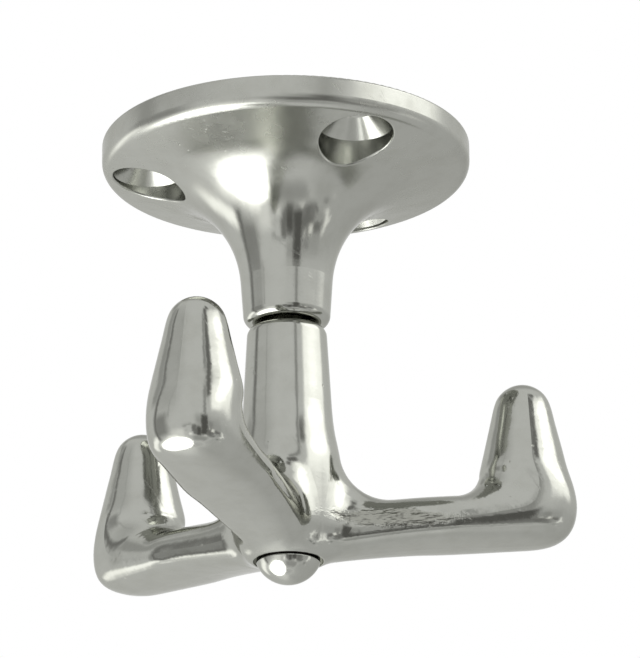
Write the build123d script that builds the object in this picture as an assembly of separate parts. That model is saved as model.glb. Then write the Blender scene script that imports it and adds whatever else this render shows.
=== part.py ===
from build123d import *

import os
from math import cos, hypot, radians, sin, sqrt, tan

# Swivel triple hook in polished cast metal, modelled hanging: the mounting face is z = 0, the
# swivel axis is Z and everything lies below. Lengths are millimetres and angles are degrees.

# Flange casting
FLANGE_DIA = 45.0
RIM_HEIGHT = 3.5
RIM_LOWER_ROUND = 1.5
RIM_UPPER_ROUND = 0.4
UNDERSIDE_SLOPE = 15.0
BELL_RADIUS = 14.0
NECK_END_DIA = 10.4
NECK_TAPER = 4.0
NECK_END_ROUND = 1.2
BASE_HEIGHT = 23.4

# Screw holes in the flange
SCREW_COUNT = 3
SCREW_CIRCLE_DIA = 33.4
SCREW_FIRST_ANGLE = 60.0
SCREW_HOLE_DIA = 4.6
SCREW_HEAD_DIA = 8.8
SCREW_CONE_ANGLE = 90.0
SCREW_RECESS = 0.45
SCREW_EDGE_ROUND = 0.25

# Hub post of the hook casting
SWIVEL_GAP = 0.3
HOOK_HEIGHT = 29.5
HUB_TOP_DIA = 9.7
HUB_SHOULDER = 1.3
HUB_TAPER = 3.2
HUB_FLARE_TOP = 10.5
HUB_FLARE_HEIGHT = 9.5
HUB_BOTTOM_ROUND = 4.6
HUB_BOTTOM_SLOPE = 15.0
CROTCH_LAND = 0.45

# Arms and prongs of the hook casting
ARM_COUNT = 3
HOOK_TURN = 9.0
ARM_ROOT_WIDTH = 8.8
ARM_END_WIDTH = 11.1
ARM_THICKNESS = 6.2
ARM_ROOT_RISE = 6.0
ARM_ROOT_RUN = 13.0
ARM_ROOT_SLOPE = 14.0
ARM_END_SLOPE = 4.0
ARM_LIFT = -0.7
ARM_START = 3.0
ARM_WAIST = 0.36
SOLE_FLATNESS = 0.74
TOP_FLATNESS = 0.6
ROOT_BLEND = 6.0
PRONG_REACH = 28.8
PRONG_BASE_DIA = 10.6
PRONG_HALF_ANGLE = 13.0
PRONG_HEIGHT = 23.4
INNER_CORNER_RADIUS = 4.0
OUTER_CORNER_RADIUS = 4.3

# Pivot rivet and its fits
RIVET_DIA = 5.0
RIVET_HEAD_DIA = 7.6
RIVET_HEAD_EDGE = 0.6
RIVET_DOME_HEIGHT = 2.5
RIVET_TAIL_DIA = 8.0
RIVET_TAIL_SINK = 0.3
RUNNING_CLEARANCE = 0.06
FIXED_CLEARANCE = 0.02
HEAD_CLEARANCE = 0.15
SPOT_FACE_DEPTH = 0.5
SPOT_FACE_MARGIN = 0.4

# Length by which each cut runs out past the surface that it opens
CUT_OVERRUN = 1.0

# Heights and radii that follow from the sizes above
FLANGE_RADIUS = FLANGE_DIA / 2
NECK_END_RADIUS = NECK_END_DIA / 2
HUB_TOP_Z = -(BASE_HEIGHT + SWIVEL_GAP)
HUB_BOTTOM_Z = HUB_TOP_Z - HOOK_HEIGHT
TIP_Z = HUB_BOTTOM_Z + PRONG_HEIGHT
RIVET_RADIUS = RIVET_DIA / 2
PRONG_RADIUS = PRONG_BASE_DIA / 2
SPOT_FACE_Z = HUB_BOTTOM_Z + SPOT_FACE_DEPTH
SPOT_FACE_RADIUS = RIVET_HEAD_DIA / 2 + SPOT_FACE_MARGIN
TAIL_DEPTH = RIVET_TAIL_SINK + RIVET_TAIL_DIA / 2 - RIVET_RADIUS

# Hub radius between the arms: wide enough for both root blends to end on a strip of hub
HALF_PITCH = radians(180 / ARM_COUNT)
HUB_FOOT_RADIUS = (ARM_ROOT_WIDTH / 2 + ROOT_BLEND) / sin(HALF_PITCH) - ROOT_BLEND + CROTCH_LAND

# Circle quadrant as a cubic curve: handle length for a unit radius
QUADRANT_HANDLE = 0.5523


def underside_z(radius):
    """Height of the flange's sloping underside at a distance from the axis."""
    return -RIM_HEIGHT - (FLANGE_RADIUS - radius) * tan(radians(UNDERSIDE_SLOPE))


def revolved(*outline):
    """Solid of revolution about Z from a closed outline in the XZ plane."""
    return revolve(Plane.XZ * make_face(Curve() + list(outline)), Axis.Z)


def flange_blank():
    """Flange, bell and neck turned from one outline, with all its roundings."""
    slope = tan(radians(UNDERSIDE_SLOPE))
    taper = tan(radians(NECK_TAPER))
    run = FLANGE_RADIUS - NECK_END_RADIUS - BASE_HEIGHT * taper
    throat_z = -(RIM_HEIGHT + run * slope) / (1 - slope * taper)
    throat_radius = NECK_END_RADIUS + (throat_z + BASE_HEIGHT) * taper
    corners = [
        (0, 0),
        (FLANGE_RADIUS, 0),
        (FLANGE_RADIUS, -RIM_HEIGHT),
        (throat_radius, throat_z),
        (NECK_END_RADIUS, -BASE_HEIGHT),
        (0, -BASE_HEIGHT),
    ]
    roundings = [
        (corners[1], RIM_UPPER_ROUND),
        (corners[2], RIM_LOWER_ROUND),
        (corners[3], BELL_RADIUS),
        (corners[4], NECK_END_ROUND),
    ]
    outline = make_face(Polyline(*corners, close=True))
    for corner, radius in roundings:
        nearest = outline.vertices().sort_by_distance(corner)[0]
        outline = fillet(nearest, radius)
    return revolve(Plane.XZ * outline, Axis.Z)


def screw_hole():
    """Cutter for one countersunk screw hole, on the Z axis."""
    hole_radius = SCREW_HOLE_DIA / 2
    head_radius = SCREW_HEAD_DIA / 2
    mouth_z = underside_z(SCREW_CIRCLE_DIA / 2 + head_radius) + SCREW_RECESS
    cone_height = (head_radius - hole_radius) / tan(radians(SCREW_CONE_ANGLE / 2))
    return revolved(
        Polyline(
            (0, CUT_OVERRUN),
            (hole_radius, CUT_OVERRUN),
            (hole_radius, mouth_z + cone_height),
            (head_radius, mouth_z),
            (head_radius, -BASE_HEIGHT),
            (0, -BASE_HEIGHT),
            close=True,
        )
    )


def is_mouth_edge(edge):
    """True for an edge where a countersink breaks through the sloping underside."""
    return edge.geom_type not in (GeomType.CIRCLE, GeomType.LINE)


def shank_outline(radius, tail_radius, tail_top, tail_depth, low_z):
    """Outline of a shank with a conical tail at its upper end."""
    return Polyline(
        (0, tail_top),
        (tail_radius, tail_top),
        (tail_radius, -RIVET_TAIL_SINK),
        (radius, -tail_depth),
        (radius, low_z),
        (0, low_z),
        close=True,
    )


def ceiling_flange():
    """Upper casting: flange, bell and neck with screw holes and the rivet's seat."""
    body = flange_blank()
    spots = PolarLocations(SCREW_CIRCLE_DIA / 2, SCREW_COUNT, SCREW_FIRST_ANGLE)
    for spot in spots:
        body -= spot * screw_hole()
    body = fillet(body.edges().filter_by(is_mouth_edge), SCREW_EDGE_ROUND)
    seat_radius = RIVET_RADIUS + FIXED_CLEARANCE
    tail_radius = RIVET_TAIL_DIA / 2 + FIXED_CLEARANCE
    low_z = -BASE_HEIGHT - CUT_OVERRUN
    body -= revolved(shank_outline(seat_radius, tail_radius, CUT_OVERRUN, TAIL_DEPTH, low_z))
    return body


def pivot_rivet():
    """Domed rivet: head under the hub, shank up the axis, tail spread in the flange's back."""
    head_radius = RIVET_HEAD_DIA / 2
    head_top = SPOT_FACE_Z - HEAD_CLEARANCE
    dome_z = head_top - RIVET_HEAD_EDGE
    shank = shank_outline(
        RIVET_RADIUS, RIVET_TAIL_DIA / 2, -RIVET_TAIL_SINK / 2, TAIL_DEPTH, head_top
    )
    dome_radius = (head_radius**2 + RIVET_DOME_HEIGHT**2) / (2 * RIVET_DOME_HEIGHT)
    tip_z = dome_z - RIVET_DOME_HEIGHT
    edge = Line((head_radius, head_top), (head_radius, dome_z))
    dome = RadiusArc((head_radius, dome_z), (0, tip_z), dome_radius)
    head = revolved(
        Line((0, head_top), (head_radius, head_top)),
        edge,
        dome,
        Line((0, tip_z), (0, head_top)),
    )
    return revolved(shank) + head


def hub_post():
    """Hub of the hook: rounded shoulder, tapering post, flared foot and rounded bottom."""
    top_radius = HUB_TOP_DIA / 2
    flare_z = HUB_TOP_Z - HUB_FLARE_TOP
    foot_z = flare_z - HUB_FLARE_HEIGHT
    drop = HUB_TOP_Z - HUB_SHOULDER - flare_z
    flare_radius = top_radius + drop * tan(radians(HUB_TAPER))
    flat_radius = SPOT_FACE_RADIUS + HEAD_CLEARANCE
    round_z = HUB_BOTTOM_Z + HUB_BOTTOM_ROUND
    shoulder = (top_radius - HUB_SHOULDER, HUB_TOP_Z)
    post_top = (top_radius, HUB_TOP_Z - HUB_SHOULDER)
    flare_top = (flare_radius, flare_z)
    foot_top = (HUB_FOOT_RADIUS, foot_z)
    foot_end = (HUB_FOOT_RADIUS, round_z)
    flat_edge = (flat_radius, HUB_BOTTOM_Z)
    handle = HUB_FLARE_HEIGHT / 2
    along_taper = (flare_radius + handle * tan(radians(HUB_TAPER)), flare_z - handle)
    round_run = QUADRANT_HANDLE * (HUB_FOOT_RADIUS - flat_radius)
    round_drop = QUADRANT_HANDLE * HUB_BOTTOM_ROUND
    round_rise = round_run * tan(radians(HUB_BOTTOM_SLOPE))
    return revolved(
        Line((0, HUB_TOP_Z), shoulder),
        RadiusArc(shoulder, post_top, HUB_SHOULDER),
        Line(post_top, flare_top),
        Bezier(flare_top, along_taper, (HUB_FOOT_RADIUS, foot_z + handle), foot_top),
        Line(foot_top, foot_end),
        Bezier(
            foot_end,
            (HUB_FOOT_RADIUS, round_z - round_drop),
            (flat_radius + round_run, HUB_BOTTOM_Z + round_rise),
            flat_edge,
        ),
        Line(flat_edge, (0, HUB_BOTTOM_Z)),
        Line((0, HUB_BOTTOM_Z), (0, HUB_TOP_Z)),
    )


class ArmShape:
    """Side view of one arm and prong, in the plane of the swivel axis and the prong's axis."""

    def __init__(self):
        """Place the inner corner, the outer corner and the prong's rounded tip."""
        self.corner_s = PRONG_REACH - PRONG_RADIUS - INNER_CORNER_RADIUS
        self.root_slope = tan(radians(ARM_ROOT_SLOPE))
        self.end_slope = tan(radians(ARM_END_SLOPE))
        self.corner_z = self.sole_z(self.corner_s) + ARM_THICKNESS + INNER_CORNER_RADIUS
        self.cone = radians(PRONG_HALF_ANGLE)
        end_radius = self.prong_radius(TIP_Z)
        self.ball_radius = end_radius * cos(self.cone) / (1 - sin(self.cone))
        self.ball_z = TIP_Z - self.ball_radius
        self.place_outer_corner()

    def sole_z(self, s):
        """Height of the arm's underside, rising from the hub and levelling off outwards."""
        bend = (self.root_slope - self.end_slope) / (2 * self.corner_s)
        return HUB_BOTTOM_Z + ARM_LIFT + self.root_slope * s - bend * s**2

    def thickness(self, s):
        """Thickness of the arm, with its top rising into the hub near the root."""
        left = max(0.0, 1 - s / ARM_ROOT_RUN)
        return ARM_THICKNESS + ARM_ROOT_RISE * left**2

    def width(self, s):
        """Width of the arm: even inside the hub, then widening towards the prong."""
        grown = max(0.0, s - HUB_FOOT_RADIUS) / (self.corner_s - HUB_FOOT_RADIUS)
        return ARM_ROOT_WIDTH + (ARM_END_WIDTH - ARM_ROOT_WIDTH) * grown

    def prong_radius(self, z):
        """Radius of the prong's cone at a height."""
        return PRONG_RADIUS - (z - self.corner_z) * tan(self.cone)

    def place_outer_corner(self):
        """Centre the outer corner's circle, tangent to the underside and the prong's outside."""
        length = hypot(self.end_slope, 1)
        self.under = (self.end_slope / length, -1 / length)
        self.outside = (cos(self.cone), sin(self.cone))
        corner_sole = self.sole_z(self.corner_s)
        self.under_level = self.under[0] * self.corner_s + self.under[1] * corner_sole
        outer_s = PRONG_REACH + PRONG_RADIUS
        self.outside_level = self.outside[0] * outer_s + self.outside[1] * self.corner_z
        first = self.under_level - OUTER_CORNER_RADIUS
        second = self.outside_level - OUTER_CORNER_RADIUS
        (a, b), (c, d) = self.under, self.outside
        cross = a * d - b * c
        self.outer_centre = ((first * d - second * b) / cross, (a * second - c * first) / cross)

    def outer_reach(self, direction):
        """Distance from the inner corner's centre to the outside, along a direction."""
        start = (self.corner_s, self.corner_z)
        hits = []
        for normal, level in (
            (self.under, self.under_level),
            (self.outside, self.outside_level),
        ):
            closing = normal[0] * direction[0] + normal[1] * direction[1]
            distance = level - normal[0] * start[0] - normal[1] * start[1]
            if closing > 1e-6:
                hits.append(distance / closing)
        reach = min(hits)
        away = (start[0] - self.outer_centre[0], start[1] - self.outer_centre[1])
        hit_s = away[0] + reach * direction[0]
        hit_z = away[1] + reach * direction[1]
        round_s = OUTER_CORNER_RADIUS * self.under[0]
        round_z = OUTER_CORNER_RADIUS * self.outside[1]
        if hit_s > round_s and hit_z < round_z:
            along = away[0] * direction[0] + away[1] * direction[1]
            inside = away[0] ** 2 + away[1] ** 2 - OUTER_CORNER_RADIUS**2
            reach = -along + sqrt(along**2 - inside)
        return reach


def oval(s, z, direction, depths, half_width, lower=QUADRANT_HANDLE, upper=QUADRANT_HANDLE):
    """Rounded section whose depth lies along a direction in the arm's own plane.

    Its widest line is at (s, z), with one of the two depths on either side of it. Lower and
    upper are the handle lengths of the two halves: the longer, the flatter the half.
    """
    plane = Plane(
        origin=(s, 0, z),
        x_dir=(direction[0], 0, direction[1]),
        z_dir=(-direction[1], 0, direction[0]),
    )
    ends = [(depths[0], 0), (0, half_width), (-depths[1], 0), (0, -half_width)]
    quarters = []
    for start, end, handle in zip(ends, ends[1:] + ends[:1], (lower, upper, upper, lower)):
        first = (start[0] + handle * end[0], start[1] + handle * end[1])
        second = (end[0] + handle * start[0], end[1] + handle * start[1])
        quarters.append(Bezier(start, first, second, end))
    return plane * make_face(quarters)


def between(start, end, share):
    """Value part of the way from a start to an end."""
    return start + (end - start) * share


def hook_arm():
    """One arm with its prong, lofted along +X from inside the hub to the prong's tip."""
    shape = ArmShape()
    down = (0, -1)
    outward = (1, 0)
    sections = []

    # Arm, from inside the hub to the inner corner
    for step in range(6):
        s = between(ARM_START, shape.corner_s, step / 6)
        waist = shape.thickness(s) * ARM_WAIST
        depths = (waist, shape.thickness(s) - waist)
        z = shape.sole_z(s) + waist
        half_width = shape.width(s) / 2
        sections.append(oval(s, z, down, depths, half_width, SOLE_FLATNESS, TOP_FLATNESS))

    # Corner, in a fan about the inner corner's centre
    for turn in range(0, 91, 15):
        share = turn / 90
        ray = (sin(radians(turn)), -cos(radians(turn)))
        outer = shape.outer_reach(ray)
        depth = outer - INNER_CORNER_RADIUS
        waist = depth * between(ARM_WAIST, 0.5, share)
        depths = (waist, depth - waist)
        middle = outer - waist
        half_width = between(ARM_END_WIDTH / 2, PRONG_RADIUS, share)
        lower = between(SOLE_FLATNESS, QUADRANT_HANDLE, share**2)
        upper = between(TOP_FLATNESS, QUADRANT_HANDLE, share)
        s = shape.corner_s + middle * ray[0]
        z = shape.corner_z + middle * ray[1]
        sections.append(oval(s, z, ray, depths, half_width, lower, upper))

    # Prong, a cone that ends in a ball
    ball_start = shape.ball_z + shape.ball_radius * sin(shape.cone)
    for step in range(1, 4):
        z = between(shape.corner_z, ball_start, step / 4)
        radius = shape.prong_radius(z)
        sections.append(oval(PRONG_REACH, z, outward, (radius, radius), radius))
    for turn in (PRONG_HALF_ANGLE, 30, 47, 62, 75, 85):
        z = shape.ball_z + shape.ball_radius * sin(radians(turn))
        radius = shape.ball_radius * cos(radians(turn))
        sections.append(oval(PRONG_REACH, z, outward, (radius, radius), radius))
    return loft(sections)


def is_root_edge(edge):
    """True for an edge where an arm runs into the hub's foot."""
    limit = HUB_FOOT_RADIUS + 0.02
    top = HUB_TOP_Z - HUB_FLARE_TOP - HUB_FLARE_HEIGHT / 2
    places = [edge @ 0.0, edge @ 0.5, edge @ 1.0]
    near = all(hypot(place.X, place.Y) < limit and place.Z < top for place in places)
    return near and edge.geom_type == GeomType.BSPLINE


def triple_hook():
    """Lower casting: hub post with three blended arms, bored and spot-faced for the rivet."""
    arm = hook_arm()
    body = hub_post()
    for index in range(ARM_COUNT):
        body += Rot(0, 0, HOOK_TURN + index * 360 / ARM_COUNT) * arm
    body = fillet(body.edges().filter_by(is_root_edge), ROOT_BLEND)
    bore_radius = RIVET_RADIUS + RUNNING_CLEARANCE
    top_z = HUB_TOP_Z + CUT_OVERRUN
    low_z = HUB_BOTTOM_Z - CUT_OVERRUN
    body -= revolved(
        Polyline(
            (0, top_z),
            (bore_radius, top_z),
            (bore_radius, SPOT_FACE_Z),
            (SPOT_FACE_RADIUS, SPOT_FACE_Z),
            (SPOT_FACE_RADIUS, low_z),
            (0, low_z),
            close=True,
        )
    )
    return body


os.makedirs("parts", exist_ok=True)
export_step(ceiling_flange(), "parts/ceiling_flange.step")
export_step(triple_hook(), "parts/triple_hook.step")
export_step(pivot_rivet(), "parts/pivot_rivet.step")
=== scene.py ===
"""Looks of a swivel triple hook in polished nickel, hung from its flange in a white studio."""

import logging
import math
from dataclasses import dataclass
from enum import Enum
from typing import Any, Mapping, Union

import bpy
from mathutils import Matrix, Vector

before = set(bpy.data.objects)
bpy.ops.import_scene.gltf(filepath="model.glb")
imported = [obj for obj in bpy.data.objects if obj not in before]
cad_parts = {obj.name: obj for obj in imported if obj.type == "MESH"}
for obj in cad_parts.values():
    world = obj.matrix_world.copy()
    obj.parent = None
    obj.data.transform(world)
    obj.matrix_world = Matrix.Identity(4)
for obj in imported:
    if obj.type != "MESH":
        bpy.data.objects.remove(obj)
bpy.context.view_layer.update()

log = logging.getLogger("swivel_hook")

Pair = tuple[float, float]
Triple = tuple[float, float, float]
Number = Union[float, "Amount"]

MM = 0.001
WHITE: Triple = (1.0, 1.0, 1.0)

# Sockets of a Mix node that is set to colours.
MIX_SHARE, MIX_FIRST, MIX_SECOND, MIX_RESULT = 0, 6, 7, 2

# Scale, detail and roughness of each noise. On the metal the scale is in cells a millimetre.
SWELL_NOISE: Triple = (0.13, 1.0, 0.5)
PEEL_NOISE: Triple = (0.7, 2.0, 0.5)
GRAIN_NOISE: Triple = (4.5, 1.0, 0.5)
SKIN_EDGE_NOISE: Triple = (0.55, 4.0, 0.7)
SKIN_NOISE: Triple = (1.0, 2.0, 0.5)
WARP_NOISE: Triple = (2.2, 3.0, 0.6)
CLUTTER_NOISE: Triple = (3.0, 1.6, 0.5)
NOISE_MEAN = 0.5

# Where soft steps start and end.
PIT_EDGE: Pair = (0.075, 0.03)
SKIN_EDGE: Pair = (1.05, 0.6)
DARK_THINGS: Pair = (0.5, 0.58)
BRIGHT_THINGS: Pair = (0.43, 0.36)

PIT_CELLS = 0.42
SKIN_RAGGED = 1.6

# Turn of each set of scratches, in radians, and how far its noise is squeezed along each axis.
SCRATCH_SETS: tuple[tuple[Triple, Triple], ...] = (
    ((0.3, 0.5, 0.2), (0.05, 2.6, 2.6)),
    ((1.1, -0.4, 0.9), (2.2, 0.06, 2.2)),
)


class Amount:
    """A socket's number that takes part in Python arithmetic; each operation adds a Math node."""

    def __init__(self, graph: "Graph", socket: bpy.types.NodeSocket) -> None:
        """Wrap a socket.

        Args:
            graph: The node tree that the socket belongs to.
            socket: The output socket that gives the number.
        """
        self.graph = graph
        self.socket = socket

    def math(self, operation: str, *numbers: Number) -> "Amount":
        """Add a Math node.

        Args:
            operation: The Math node's operation.
            numbers: Its operands in order.

        Returns:
            The node's result.
        """
        operands = dict(enumerate(numbers))
        made = self.graph.node("ShaderNodeMath", {"operation": operation}, operands)
        return Amount(self.graph, made.outputs[0])

    def __add__(self, other: Number) -> "Amount":
        """Sum with a number on the right."""
        return self.math("ADD", self, other)

    def __radd__(self, other: Number) -> "Amount":
        """Sum with a number on the left."""
        return self.math("ADD", other, self)

    def __sub__(self, other: Number) -> "Amount":
        """Difference with a number on the right."""
        return self.math("SUBTRACT", self, other)

    def __rsub__(self, other: Number) -> "Amount":
        """Difference with a number on the left."""
        return self.math("SUBTRACT", other, self)

    def __mul__(self, other: Number) -> "Amount":
        """Product with a number on the right."""
        return self.math("MULTIPLY", self, other)

    def __rmul__(self, other: Number) -> "Amount":
        """Product with a number on the left."""
        return self.math("MULTIPLY", other, self)

    def __neg__(self) -> "Amount":
        """The number with its sign changed."""
        return self.math("MULTIPLY", self, -1.0)

    def __or__(self, other: Number) -> "Amount":
        """The larger of two masks."""
        return self.math("MAXIMUM", self, other)

    def __ror__(self, other: Number) -> "Amount":
        """The larger of two masks, with the number on the left."""
        return self.math("MAXIMUM", other, self)

    def rise(self, start: float, end: float) -> "Amount":
        """Smooth step from 0 to 1.

        Args:
            start: Number at which the step is 0.
            end: Number at which it is 1; below start, the step falls instead.

        Returns:
            The step, between 0 and 1.
        """
        made = self.graph.node(
            "ShaderNodeMapRange",
            {"interpolation_type": "SMOOTHSTEP"},
            {"Value": self, "From Min": start, "From Max": end},
        )
        return Amount(self.graph, made.outputs[0])

    def within(self, low: float, high: float, soft: float) -> "Amount":
        """Mask that is 1 between two numbers.

        Args:
            low: Lower edge of the band.
            high: Upper edge of the band.
            soft: Half the width of each edge's fade.

        Returns:
            The mask.
        """
        return self.rise(low - soft, low + soft) * self.rise(high + soft, high - soft)


class Graph:
    """A node tree that is written as Python expressions."""

    def __init__(self, tree: bpy.types.NodeTree) -> None:
        """Take over a node tree and empty it.

        Args:
            tree: The tree of a material or of the world.
        """
        self.tree = tree
        tree.nodes.clear()

    def node(
        self,
        kind: str,
        settings: Mapping[str, Any] | None = None,
        inputs: Mapping[Union[str, int], Any] | None = None,
    ) -> bpy.types.Node:
        """Add a node.

        Args:
            kind: The node's type.
            settings: Its own settings, which are set first.
            inputs: Values or links of its sockets, by name or index.

        Returns:
            The node.
        """
        made = self.tree.nodes.new(kind)
        for name, value in (settings or {}).items():
            setattr(made, name, value)
        for key, value in (inputs or {}).items():
            self._plug(made.inputs[key], value)
        return made

    def _plug(self, socket: bpy.types.NodeSocket, value: Any) -> None:
        """Link or set one input.

        Args:
            socket: The input socket.
            value: An Amount, an output socket, or a plain value.
        """
        if isinstance(value, Amount):
            self.tree.links.new(value.socket, socket)
        elif isinstance(value, bpy.types.NodeSocket):
            self.tree.links.new(value, socket)
        elif socket.type == "RGBA" and len(value) == 3:
            socket.default_value = (*value, 1.0)
        else:
            socket.default_value = value

    def amount(self, socket: bpy.types.NodeSocket) -> Amount:
        """Wrap a socket's number."""
        return Amount(self, socket)

    def vector(self, operation: str, *vectors: Any) -> bpy.types.Node:
        """Add a Vector Math node.

        Args:
            operation: Its operation.
            vectors: Its operands in order.

        Returns:
            The node.
        """
        operands = dict(enumerate(vectors))
        return self.node("ShaderNodeVectorMath", {"operation": operation}, operands)

    def blend(self, share: Number, first: Any, second: Any) -> bpy.types.NodeSocket:
        """Mix two colours.

        Args:
            share: Part of the second colour.
            first: First colour.
            second: Second colour.

        Returns:
            The mixed colour's socket.
        """
        made = self.node(
            "ShaderNodeMix",
            {"data_type": "RGBA"},
            {MIX_SHARE: share, MIX_FIRST: first, MIX_SECOND: second},
        )
        return made.outputs[MIX_RESULT]

    def noise(
        self, place: bpy.types.NodeSocket, scale: float, detail: float, rough: float
    ) -> Amount:
        """Noise from 0 to 1, about 0.5 on average.

        Args:
            place: Coordinates.
            scale: Cells a unit of the coordinates.
            detail: Number of finer layers.
            rough: Weight of the finer layers.

        Returns:
            The noise.
        """
        made = self.node(
            "ShaderNodeTexNoise",
            {},
            {"Vector": place, "Scale": scale, "Detail": detail, "Roughness": rough},
        )
        return Amount(self, made.outputs["Fac"])


class Polish(Enum):
    """How far a piece was polished before it was plated."""

    CASTING = "hand-polished casting"
    TURNED = "machine-polished rivet"


@dataclass(frozen=True)
class Mottle:
    """Blotches of noise, cut to a mask with soft edges."""

    scale: float
    detail: float
    rough: float
    start: float
    end: float

    def mask(self, graph: Graph, place: bpy.types.NodeSocket) -> Amount:
        """Mask that is 1 in the blotches and 0 between them.

        Args:
            graph: The node tree.
            place: Coordinates.

        Returns:
            The mask.
        """
        noise = graph.noise(place, self.scale, self.detail, self.rough)
        return noise.rise(self.start, self.end)


SMEARS = Mottle(0.16, 3.0, 0.6, 0.42, 0.72)
CLOUDS = Mottle(0.35, 4.0, 0.6, 0.35, 0.75)
PITTED_PARTS = Mottle(0.19, 2.0, 0.5, 0.5, 0.56)
SCRATCH_LINES = Mottle(1.0, 1.0, 0.5, 0.69, 0.74)
SCRATCHED_PARTS = Mottle(0.11, 1.0, 0.5, 0.48, 0.62)


@dataclass(frozen=True)
class RoughAndShadedPatch:
    """A spot where the wheel didn't reach and the rough cast surface shows; the darker base colour
    there is painted shade. In millimetres.
    """

    centre: Triple
    half_size: Triple
    turn_deg: float = 0.0
    streaks: Triple = (0.3, 1.0, 1.0)
    depth_mm: float = 0.4


@dataclass(frozen=True)
class NickelFinish:
    """Bright nickel plate over polished metal, duller above a height where that is asked for."""

    name: str
    polish: Polish
    colour: Triple = (0.415, 0.422, 0.388)
    shade: Triple = (0.33, 0.333, 0.297)
    edge_tint: Triple = (0.72, 0.72, 0.70)
    cloud_shade: float = 0.35
    roughness: float = 0.09
    smear_rough: float = 0.06
    cloud_rough: float = 0.04
    skin_rough: float = 0.08
    scratch_rough: float = 0.12
    dull: float = 0.0
    dull_from_mm: float = -8.0
    dull_fade_mm: float = 3.0
    swell_mm: float = 0.05
    peel_mm: float = 0.006
    grain_mm: float = 0.002
    pit_mm: float = 0.03
    scratch_mm: float = 0.004
    patches: tuple[RoughAndShadedPatch, ...] = ()

    def make(self) -> bpy.types.Material:
        """Build the material.

        Returns:
            The material with its node tree.
        """
        material = bpy.data.materials.new(self.name)
        material.use_nodes = True
        graph = Graph(material.node_tree)
        place = graph.vector("SCALE", graph.node("ShaderNodeTexCoord").outputs["Object"])
        place.inputs["Scale"].default_value = 1 / MM
        spot = place.outputs[0]

        skin_and_shade, relief = self._skin_and_painted_shade(graph, spot)
        pits = self._pits(graph, spot)
        scratches = self._scratches(graph, spot)
        smears = SMEARS.mask(graph, spot)
        clouds = CLOUDS.mask(graph, spot)

        level = graph.amount(graph.node("ShaderNodeSeparateXYZ", {}, {0: spot}).outputs[2])
        fade_start = self.dull_from_mm - self.dull_fade_mm
        fade_end = self.dull_from_mm + self.dull_fade_mm
        dull = level.rise(fade_start, fade_end) * self.dull
        rough = self.roughness + self.smear_rough * smears + self.cloud_rough * clouds
        rough = rough + self.skin_rough * skin_and_shade + self.scratch_rough * scratches + dull
        # The rough-patch mask darkens the base colour to the shade tone here: painted shade.
        tone = graph.blend(clouds * self.cloud_shade | skin_and_shade | pits, self.colour, self.shade)

        swell = graph.noise(spot, *SWELL_NOISE) * self.swell_mm
        peel = graph.noise(spot, *PEEL_NOISE) * self.peel_mm
        grain = graph.noise(spot, *GRAIN_NOISE) * self.grain_mm
        height = swell + peel + grain + relief
        height = height - pits * self.pit_mm - scratches * self.scratch_mm
        bump = graph.node(
            "ShaderNodeBump", {}, {"Strength": 1.0, "Distance": MM, "Height": height}
        )

        shader = graph.node(
            "ShaderNodeBsdfPrincipled",
            {},
            {
                "Base Color": tone,
                "Metallic": 1.0,
                "Roughness": rough,
                "Specular Tint": self.edge_tint,
                "Normal": bump.outputs[0],
            },
        )
        graph.node("ShaderNodeOutputMaterial", {}, {"Surface": shader.outputs[0]})
        return material

    def _pits(self, graph: Graph, spot: bpy.types.NodeSocket) -> Amount:
        """Mask of sparse pinholes in the plate.

        Args:
            graph: The material's node tree.
            spot: Coordinates in millimetres.

        Returns:
            The mask.
        """
        cells = graph.node(
            "ShaderNodeTexVoronoi", {}, {"Vector": spot, "Scale": PIT_CELLS, "Randomness": 1.0}
        )
        near = graph.amount(cells.outputs["Distance"]).rise(*PIT_EDGE)
        return near * PITTED_PARTS.mask(graph, spot)

    def _scratches(self, graph: Graph, spot: bpy.types.NodeSocket) -> Amount:
        """Mask of fine handling scratches in two directions.

        Args:
            graph: The material's node tree.
            spot: Coordinates in millimetres.

        Returns:
            The mask.
        """
        masks = []
        for turn, squeeze in SCRATCH_SETS:
            lain = graph.node(
                "ShaderNodeMapping", {"vector_type": "TEXTURE"}, {"Vector": spot, "Rotation": turn}
            )
            drawn = graph.vector("MULTIPLY", lain.outputs[0], squeeze)
            masks.append(SCRATCH_LINES.mask(graph, drawn.outputs[0]))
        return (masks[0] | masks[1]) * SCRATCHED_PARTS.mask(graph, spot)

    def _skin_and_painted_shade(self, graph: Graph, spot: bpy.types.NodeSocket) -> tuple[Amount, Amount]:
        """Mask and relief of the rough patches; the mask also darkens the base colour as painted
        shade.

        Args:
            graph: The material's node tree.
            spot: Coordinates in millimetres.

        Returns:
            The mask, 0 where there are none, and the relief in millimetres.
        """
        broken = graph.noise(spot, *SKIN_EDGE_NOISE)
        mask = relief = broken * 0.0
        for patch in self.patches:
            apart = graph.vector("SUBTRACT", spot, patch.centre).outputs[0]
            turned = graph.node(
                "ShaderNodeVectorRotate",
                {"rotation_type": "Z_AXIS"},
                {"Vector": apart, "Angle": -math.radians(patch.turn_deg)},
            ).outputs[0]
            reach = graph.vector("DIVIDE", turned, patch.half_size).outputs[0]
            length = graph.amount(graph.vector("LENGTH", reach).outputs["Value"])
            there = (length + (broken - NOISE_MEAN) * SKIN_RAGGED).rise(*SKIN_EDGE)
            drawn = graph.vector("MULTIPLY", turned, patch.streaks).outputs[0]
            ridges = graph.noise(drawn, *SKIN_NOISE) - NOISE_MEAN
            relief = relief + ridges * there * patch.depth_mm
            mask = mask | there
        return mask, relief


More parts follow.
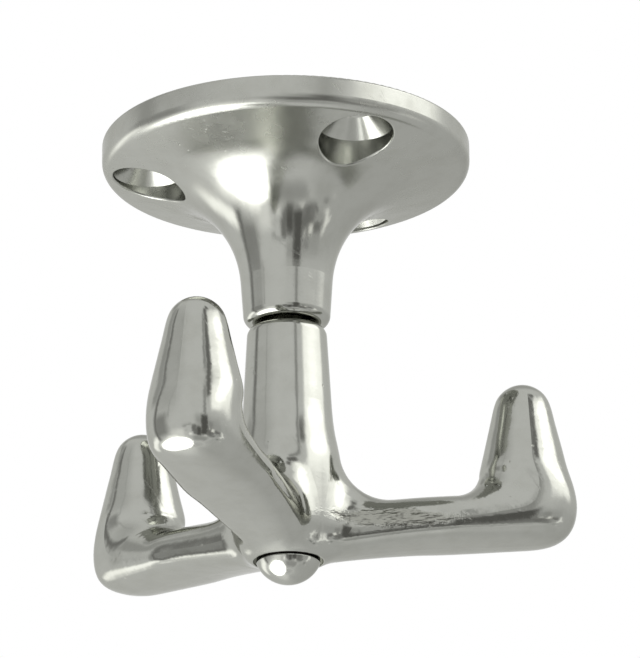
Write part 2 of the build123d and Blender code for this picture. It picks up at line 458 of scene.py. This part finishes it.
@dataclass
class CeilingBase:
    """Flange casting that is screwed to the ceiling, with the rivet that is spread in it."""

    flange_node: str = "ceiling_flange"
    rivet_node: str = "pivot_rivet"
    # Rough patch; it also darkens the flange's base colour there as painted shade.
    patches: tuple[RoughAndShadedPatch, ...] = (RoughAndShadedPatch((-11.0, 9.0, -6.5), (3.2, 2.2, 1.2)),)

    def dress(self) -> None:
        """Give flange and rivet their finishes."""
        flange = NickelFinish(
            "polished_casting_flange",
            Polish.CASTING,
            roughness=0.1,
            dull=0.12,
            grain_mm=0.003,
            patches=self.patches,
        )
        rivet = NickelFinish(
            "polished_rivet_head", Polish.TURNED, roughness=0.06, swell_mm=0.02, peel_mm=0.002
        )
        put_finish(self.flange_node, flange)
        put_finish(self.rivet_node, rivet)


@dataclass
class SwivelHook:
    """Hook casting: hub and three prongs."""

    node: str = "triple_hook"
    # Rough patches along the arms' undersides; they also darken the base colour there as painted
    # shade.
    patches: tuple[RoughAndShadedPatch, ...] = (
        RoughAndShadedPatch((12.0, -3.4, -48.6), (9.0, 2.6, 1.4), 9.0, (0.4, 1.5, 1.5), 0.45),
        RoughAndShadedPatch((-8.0, 13.0, -49.8), (5.0, 1.5, 0.9), 129.0),
        RoughAndShadedPatch((-8.6, -11.0, -49.5), (4.5, 1.2, 0.8), 249.0),
    )

    def dress(self) -> None:
        """Give the casting its finish."""
        finish = NickelFinish("polished_casting_hook", Polish.CASTING, patches=self.patches)
        put_finish(self.node, finish)


def put_finish(node: str, finish: NickelFinish) -> None:
    """Dress a CAD node.

    Args:
        node: Name of the node.
        finish: Its finish.
    """
    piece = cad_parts[node]
    piece.data.materials.clear()
    piece.data.materials.append(finish.make())
    log.info("%s: %s", node, finish.polish.value)


def aim(azimuth_deg: float, elevation_deg: float) -> Vector:
    """Direction from the object, with azimuth 0 towards the front and 90 to the right.

    Args:
        azimuth_deg: Angle round the swivel axis.
        elevation_deg: Angle above the horizon.

    Returns:
        The unit vector.
    """
    azimuth, elevation = math.radians(azimuth_deg), math.radians(elevation_deg)
    level = math.cos(elevation)
    return Vector((math.sin(azimuth) * level, -math.cos(azimuth) * level, math.sin(elevation)))


@dataclass(frozen=True)
class Softbox:
    """An oval lamp with a soft face; lengths in metres."""

    name: str
    azimuth_deg: float
    elevation_deg: float
    distance: float
    size: Pair
    brightness: float

    def place(self, target: Vector) -> None:
        """Hang the lamp.

        Args:
            target: Point that it faces.
        """
        lamp = bpy.data.lights.new(self.name, "AREA")
        lamp.shape = "ELLIPSE"
        lamp.size, lamp.size_y = self.size
        area = math.pi / 4 * self.size[0] * self.size[1]
        lamp.energy = self.brightness * math.pi * area
        piece = bpy.data.objects.new(self.name, lamp)
        bpy.context.scene.collection.objects.link(piece)
        towards = aim(self.azimuth_deg, self.elevation_deg)
        piece.location = target + towards * self.distance
        piece.rotation_euler = towards.to_track_quat("Z", "Y").to_euler()
        piece.visible_camera = False
        log.info(
            "%s at azimuth %.0f, elevation %.0f", self.name, self.azimuth_deg, self.elevation_deg
        )


class Tone(Enum):
    """What a card adds to the surround that polished metal mirrors."""

    GAP = "dark gap"
    GLOW = "soft light"


@dataclass(frozen=True)
class Card:
    """A part of the studio that polished metal mirrors, in degrees."""

    tone: Tone
    azimuth: float
    elevation: float
    half_width: float
    half_height: float
    soft: float
    level: float

    def mask(self, azimuth: Amount, elevation: Amount) -> Amount:
        """How far the card changes a direction.

        Args:
            azimuth: The direction's azimuth.
            elevation: The direction's elevation.

        Returns:
            The mask, up to the card's level.
        """
        apart = azimuth.math("WRAP", azimuth - self.azimuth, 180.0, -180.0)
        across = apart.within(-self.half_width, self.half_width, self.soft)
        bottom, top = self.elevation - self.half_height, self.elevation + self.half_height
        return across * elevation.within(bottom, top, self.soft) * self.level


@dataclass
class Studio:
    """White studio: world, lamps and floor. Lengths in metres, angles in degrees."""

    target: Triple = (0.0, 0.0, -0.03)
    floor_level: float = -1.6
    floor_radius: float = 0.4
    floor_sides: int = 96
    floor_fade: Pair = (0.1, 0.38)
    floor_colour: Triple = (0.86, 0.86, 0.86)
    wall_colour: Triple = (1.0, 1.0, 1.0)
    gap_colour: Triple = (0.03, 0.027, 0.02)
    glow_colour: Triple = (1.0, 0.99, 0.96)
    warp_azimuth: float = 9.0
    warp_elevation: float = 10.0
    # The clutter's lower and upper edge, the softness of both, and how much it shows.
    clutter_azimuth: Triple = (-28.0, 95.0, 10.0)
    clutter_elevation: Triple = (-46.0, -14.0, 6.0)
    clutter: float = 0.7
    glints: float = 0.8
    lamps: tuple[Softbox, ...] = (
        Softbox("softbox_right", 80.0, 33.0, 0.8, (0.66, 0.24), 0.6),
        Softbox("softbox_low_left", -85.0, -62.0, 0.45, (0.5, 0.36), 2.4),
    )
    cards: tuple[Card, ...] = (
        Card(Tone.GLOW, 78.0, 31.5, 32.0, 13.0, 5.0, 1.2),
        Card(Tone.GLOW, 66.0, 44.0, 14.0, 6.0, 4.0, 0.7),
        Card(Tone.GLOW, -85.0, -57.0, 36.0, 21.0, 8.0, 1.25),
        Card(Tone.GLOW, -45.0, -48.0, 14.0, 24.0, 8.0, 0.42),
        Card(Tone.GLOW, -150.0, -62.0, 28.0, 14.0, 10.0, 0.25),
        Card(Tone.GLOW, -122.0, -21.0, 20.0, 7.0, 5.0, 1.2),
        Card(Tone.GLOW, 52.0, -21.0, 4.5, 4.5, 3.0, 1.2),
        Card(Tone.GAP, 8.0, -34.0, 9.0, 16.0, 6.0, 0.86),
        Card(Tone.GAP, 8.0, -6.0, 9.0, 14.0, 8.0, 0.36),
        Card(Tone.GAP, 24.0, -17.0, 10.0, 26.0, 5.0, 0.86),
        Card(Tone.GAP, 38.0, -30.0, 24.0, 17.0, 8.0, 0.64),
        Card(Tone.GAP, 45.0, -18.0, 38.0, 24.0, 12.0, 0.34),
        Card(Tone.GAP, 18.0, -60.0, 32.0, 11.0, 8.0, 0.42),
        Card(Tone.GAP, 115.0, -32.0, 58.0, 42.0, 16.0, 0.24),
        Card(Tone.GAP, -97.0, 8.0, 6.0, 40.0, 6.0, 0.72),
        Card(Tone.GAP, -113.0, 37.0, 10.0, 10.0, 6.0, 0.42),
        Card(Tone.GAP, -138.0, 43.0, 14.0, 6.0, 5.0, 0.4),
        Card(Tone.GAP, -80.0, -4.0, 17.0, 20.0, 7.0, 0.54),
        Card(Tone.GAP, 25.5, 22.0, 3.4, 26.0, 3.0, 0.55),
        Card(Tone.GAP, 38.0, 46.0, 7.5, 10.0, 4.0, 0.76),
        Card(Tone.GAP, 44.0, -10.0, 10.0, 10.0, 6.0, 0.5),
        Card(Tone.GAP, 54.0, 56.0, 8.0, 5.0, 4.0, 0.75),
        Card(Tone.GAP, -59.0, 28.0, 1.8, 20.0, 2.4, 0.42),
        Card(Tone.GAP, -75.0, 38.0, 30.0, 16.0, 22.0, 0.26),
        Card(Tone.GAP, 180.0, 60.0, 40.0, 16.0, 12.0, 0.28),
    )

    def build(self) -> None:
        """Make the world, the lamps and the floor."""
        self._world()
        for lamp in self.lamps:
            lamp.place(Vector(self.target))
        self._floor()

    def _world(self) -> None:
        """White surround; what metal mirrors of it has the studio's dark gaps and soft lights."""
        world = bpy.data.worlds.new("studio")
        bpy.context.scene.world = world
        world.use_nodes = True
        graph = Graph(world.node_tree)
        rays = graph.node("ShaderNodeLightPath")
        mirrored = graph.amount(rays.outputs["Is Glossy Ray"])
        seen_straight = graph.amount(rays.outputs["Is Camera Ray"])
        seen = seen_straight | graph.amount(rays.outputs["Is Transmission Ray"])

        way = graph.node("ShaderNodeTexCoord").outputs["Generated"]
        warp = graph.noise(way, *WARP_NOISE) - NOISE_MEAN
        parts = graph.node("ShaderNodeSeparateXYZ", {}, {0: way})
        across = graph.amount(parts.outputs[0])
        ahead = -graph.amount(parts.outputs[1])
        up = graph.amount(parts.outputs[2])
        turn = across.math("ARCTAN2", across, ahead) * math.degrees(1)
        azimuth = turn + warp * self.warp_azimuth
        lift = up.math("ARCSINE", up) * math.degrees(1)
        elevation = lift + warp * self.warp_elevation

        dark, bright = self._clutter(graph, way, azimuth, elevation)
        masks = {Tone.GAP: dark, Tone.GLOW: bright}
        for card in self.cards:
            masks[card.tone] = masks[card.tone] | card.mask(azimuth, elevation)

        tent = graph.blend(mirrored * masks[Tone.GAP], self.wall_colour, self.gap_colour)
        surround = graph.node("ShaderNodeBackground", {}, {"Color": tent, "Strength": 1.0})
        glow = graph.node(
            "ShaderNodeBackground",
            {},
            {"Color": self.glow_colour, "Strength": mirrored * masks[Tone.GLOW]},
        )
        lit = graph.node("ShaderNodeAddShader", {}, {0: surround.outputs[0], 1: glow.outputs[0]})
        white = graph.node("ShaderNodeBackground", {}, {"Color": WHITE, "Strength": 1.0})
        mixed = graph.node(
            "ShaderNodeMixShader", {}, {0: seen, 1: lit.outputs[0], 2: white.outputs[0]}
        )
        graph.node("ShaderNodeOutputWorld", {}, {"Surface": mixed.outputs[0]})

    def _clutter(
        self, graph: Graph, way: bpy.types.NodeSocket, azimuth: Amount, elevation: Amount
    ) -> tuple[Amount, Amount]:
        """Dark and bright things that stand about low in the room, in front.

        Args:
            graph: The world's node tree.
            way: The direction.
            azimuth: The direction's azimuth in degrees.
            elevation: The direction's elevation in degrees.

        Returns:
            Masks of the dark and of the bright things.
        """
        low = elevation.within(*self.clutter_elevation) * azimuth.within(*self.clutter_azimuth)
        blots = graph.noise(way, *CLUTTER_NOISE)
        dark = blots.rise(*DARK_THINGS) * low * self.clutter
        bright = blots.rise(*BRIGHT_THINGS) * low * self.glints
        return dark, bright

    def _floor(self) -> None:
        """Round pale floor that fades into the white surround."""
        radius, level, sides = self.floor_radius, self.floor_level, self.floor_sides
        angles = [2 * math.pi * index / sides for index in range(sides)]
        points = [(0.0, 0.0, level)]
        points += [(radius * math.cos(angle), radius * math.sin(angle), level) for angle in angles]
        faces = [(0, 1 + index, 1 + (index + 1) % sides) for index in range(sides)]
        mesh = bpy.data.meshes.new("floor")
        mesh.from_pydata(points, [], faces)
        floor = bpy.data.objects.new("floor", mesh)
        bpy.context.scene.collection.objects.link(floor)
        mesh.materials.append(self._floor_finish())
        log.info("floor at %.2f m", self.floor_level)

    def _floor_finish(self) -> bpy.types.Material:
        """Pale matt floor, white where it runs out.

        Returns:
            The material.
        """
        material = bpy.data.materials.new("studio_floor")
        material.use_nodes = True
        graph = Graph(material.node_tree)
        place = graph.node("ShaderNodeTexCoord").outputs["Object"]
        level = graph.vector("MULTIPLY", place, (1.0, 1.0, 0.0)).outputs[0]
        distance = graph.amount(graph.vector("LENGTH", level).outputs["Value"])
        pale = graph.node("ShaderNodeBsdfDiffuse", {}, {"Color": self.floor_colour})
        white = graph.node("ShaderNodeEmission", {}, {"Color": WHITE, "Strength": 1.0})
        mixed = graph.node(
            "ShaderNodeMixShader",
            {},
            {0: distance.rise(*self.floor_fade), 1: pale.outputs[0], 2: white.outputs[0]},
        )
        graph.node("ShaderNodeOutputMaterial", {}, {"Surface": mixed.outputs[0]})
        return material


@dataclass(frozen=True)
class PhotoCamera:
    """Camera in front of the hook and below it, looking up. Metres and radians."""

    place: Triple = (0.0, -0.5, -0.206371)
    yaw: float = 0.008
    pitch: float = 0.350
    roll: float = -0.009
    focal_px: float = 4403.6
    image_px: tuple[int, int] = (640, 658)
    sensor_mm: float = 36.0
    clip: Pair = (0.01, 50.0)

    def set_up(self) -> None:
        """Make the scene's camera."""
        ahead = Vector(
            (
                math.sin(self.yaw) * math.cos(self.pitch),
                math.cos(self.yaw) * math.cos(self.pitch),
                math.sin(self.pitch),
            )
        )
        level = Vector((math.cos(self.yaw), -math.sin(self.yaw), 0.0))
        upright = level.cross(ahead)
        right = level * math.cos(self.roll) + upright * math.sin(self.roll)
        up = upright * math.cos(self.roll) - level * math.sin(self.roll)
        data = bpy.data.cameras.new("photo_camera")
        data.sensor_width = self.sensor_mm
        data.lens = self.focal_px / max(self.image_px) * self.sensor_mm
        data.clip_start, data.clip_end = self.clip
        camera = bpy.data.objects.new("photo_camera", data)
        bpy.context.scene.collection.objects.link(camera)
        turn = Matrix((right, up, -ahead)).transposed().to_4x4()
        camera.matrix_world = Matrix.Translation(self.place) @ turn
        bpy.context.scene.camera = camera


def main() -> None:
    """Dress the hook, light it and place the camera."""
    logging.basicConfig(level=logging.INFO, format="%(name)s: %(message)s")
    bpy.context.scene.view_settings.view_transform = "Standard"
    PhotoCamera().set_up()
    Studio().build()
    CeilingBase().dress()
    SwivelHook().dress()


if __name__ == "__main__":
    main()
